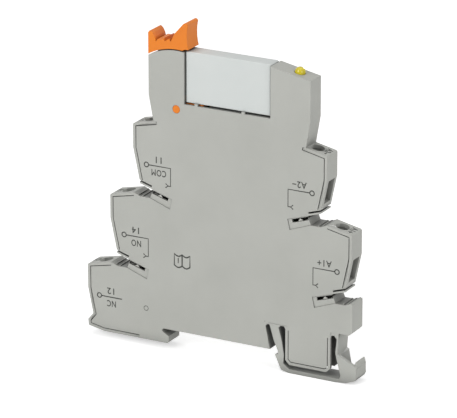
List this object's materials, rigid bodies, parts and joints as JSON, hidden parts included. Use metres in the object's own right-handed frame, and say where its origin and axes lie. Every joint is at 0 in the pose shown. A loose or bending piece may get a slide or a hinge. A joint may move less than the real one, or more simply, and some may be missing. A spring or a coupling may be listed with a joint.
{
  "type": "plug-in relay module",
  "caption": "Slim terminal-block relay module: stepped housing with a clip-on rail foot, plug-in relay held by an eject lever, status lamp and tiered screw clamps.",
  "frame": {"origin": "middle of the seat of the clip-on rail foot, halfway through the housing's thickness", "axes": "+Z away from the seat towards the relay, +Y through the thin housing from the cover side to the closed side, +X from the supply-contact tiers to the coil tiers"},
  "size_m": [0.0858, 0.0062, 0.0974],
  "materials": {
    "housing_plastic": "moulded, fine matt",
    "cover_plastic": "moulded, fine matt",
    "lever_plastic": "moulded, fine matt",
    "relay_case_plastic": "moulded, satin",
    "relay_base_plastic": "moulded, matt",
    "bobbin_plastic": "moulded, matt",
    "led_lens": "moulded, clear tinted",
    "board_laminate": "solder mask over laminate",
    "component_body": "moulded epoxy",
    "tinned_copper": "stamped, tin plated",
    "zinc_plated_steel": "zinc plated",
    "magnet_iron": "nickel plated iron",
    "winding_copper": "enamelled wire",
    "contact_alloy": "stamped spring alloy"
  },
  "bodies": {
    "base": {"housing": "housing_plastic", "side_cover": "cover_plastic", "circuit_board": "board_laminate", "indicator_led": "led_lens", "bridge_rectifier": "component_body", "smoothing_capacitor": "component_body", "flyback_diode": "component_body", "series_resistor": "component_body", "busbar_12": "tinned_copper", "busbar_14": "tinned_copper", "busbar_11": "tinned_copper", "busbar_a1": "tinned_copper", "busbar_a2": "tinned_copper", "socket_12": "tinned_copper", "socket_11": "tinned_copper", "socket_14": "tinned_copper", "socket_a1": "tinned_copper", "socket_a2": "tinned_copper"},
    "lever": {"eject_lever": "lever_plastic"},
    "relay": {"relay_case": "relay_case_plastic", "relay_base": "relay_base_plastic", "coil_bobbin": "bobbin_plastic", "coil_winding": "winding_copper", "iron_core": "magnet_iron", "relay_yoke": "magnet_iron", "contact_nc": "contact_alloy", "contact_no": "contact_alloy", "common_pin": "contact_alloy", "coil_pin_a1": "contact_alloy", "coil_pin_a2": "contact_alloy"},
    "armature": {"armature": "magnet_iron"},
    "card": {"pusher_card": "bobbin_plastic"},
    "moving_contact": {"contact_spring": "contact_alloy"},
    "screw_12": {"clamp_screw_12": "zinc_plated_steel"},
    "sleeve_12": {"clamp_sleeve_12": "zinc_plated_steel"},
    "screw_14": {"clamp_screw_14": "zinc_plated_steel"},
    "sleeve_14": {"clamp_sleeve_14": "zinc_plated_steel"},
    "screw_11": {"clamp_screw_11": "zinc_plated_steel"},
    "sleeve_11": {"clamp_sleeve_11": "zinc_plated_steel"},
    "screw_a1": {"clamp_screw_a1": "zinc_plated_steel"},
    "sleeve_a1": {"clamp_sleeve_a1": "zinc_plated_steel"},
    "screw_a2": {"clamp_screw_a2": "zinc_plated_steel"},
    "sleeve_a2": {"clamp_sleeve_a2": "zinc_plated_steel"}
  },
  "joints": [
    {"name": "lever_tilt", "type": "hinge", "parent": "base", "child": "lever", "pos_m": [-0.01413, 0, 0.066], "axis": [0, -1, 0], "range_deg": [0, 22]},
    {"name": "relay_lift", "type": "slide", "parent": "base", "child": "relay", "axis": [0, 0, 1], "range_m": [0, 0.0029]},
    {"name": "armature_hinge", "type": "hinge", "parent": "relay", "child": "armature", "pos_m": [-0.0012, 0, 0.0716], "axis": [0, 1, 0], "range_deg": [0, 4], "stiffness_Nm_per_rad": 0.01},
    {"name": "card_slide", "type": "slide", "parent": "relay", "child": "card", "axis": [1, 0, 0], "range_m": [0, 0.00061]},
    {"name": "contact_hinge", "type": "hinge", "parent": "relay", "child": "moving_contact", "pos_m": [-0.00477, 0, 0.071], "axis": [0, 1, 0], "range_deg": [0, 3.6], "stiffness_Nm_per_rad": 0.01},
    {"name": "screw_turn_12", "type": "hinge", "parent": "base", "child": "screw_12", "pos_m": [-0.0388, 0, 0.01644], "axis": [0.2079, 0, -0.9781], "range_deg": [0, 1440]},
    {"name": "sleeve_slide_12", "type": "slide", "parent": "base", "child": "sleeve_12", "axis": [-0.2079, 0, 0.9781], "range_m": [0, 0.002]},
    {"name": "screw_turn_14", "type": "hinge", "parent": "base", "child": "screw_14", "pos_m": [-0.0312, 0, 0.03864], "axis": [0.2079, 0, -0.9781], "range_deg": [0, 1440]},
    {"name": "sleeve_slide_14", "type": "slide", "parent": "base", "child": "sleeve_14", "axis": [-0.2079, 0, 0.9781], "range_m": [0, 0.002]},
    {"name": "screw_turn_11", "type": "hinge", "parent": "base", "child": "screw_11", "pos_m": [-0.0236, 0, 0.06084], "axis": [0.2079, 0, -0.9781], "range_deg": [0, 1440]},
    {"name": "sleeve_slide_11", "type": "slide", "parent": "base", "child": "sleeve_11", "axis": [-0.2079, 0, 0.9781], "range_m": [0, 0.002]},
    {"name": "screw_turn_a1", "type": "hinge", "parent": "base", "child": "screw_a1", "pos_m": [0.0364, 0, 0.03894], "axis": [-0.2079, 0, -0.9781], "range_deg": [0, 1440]},
    {"name": "sleeve_slide_a1", "type": "slide", "parent": "base", "child": "sleeve_a1", "axis": [0.2079, 0, 0.9781], "range_m": [0, 0.002]},
    {"name": "screw_turn_a2", "type": "hinge", "parent": "base", "child": "screw_a2", "pos_m": [0.0286, 0, 0.06054], "axis": [-0.2079, 0, -0.9781], "range_deg": [0, 1440]},
    {"name": "sleeve_slide_a2", "type": "slide", "parent": "base", "child": "sleeve_a2", "axis": [0.2079, 0, 0.9781], "range_m": [0, 0.002]}
  ],
  "couplings": [
    {"joint": "relay_lift", "follows": "lever_tilt", "m_per_rad": 0.00755},
    {"joint": "armature_hinge", "follows": "card_slide", "rad_per_m": 114.4},
    {"joint": "contact_hinge", "follows": "card_slide", "rad_per_m": 103},
    {"joint": "screw_turn_12", "follows": "sleeve_slide_12", "rad_per_m": 12566},
    {"joint": "screw_turn_14", "follows": "sleeve_slide_14", "rad_per_m": 12566},
    {"joint": "screw_turn_11", "follows": "sleeve_slide_11", "rad_per_m": 12566},
    {"joint": "screw_turn_a1", "follows": "sleeve_slide_a1", "rad_per_m": 12566},
    {"joint": "screw_turn_a2", "follows": "sleeve_slide_a2", "rad_per_m": 12566}
  ]
}
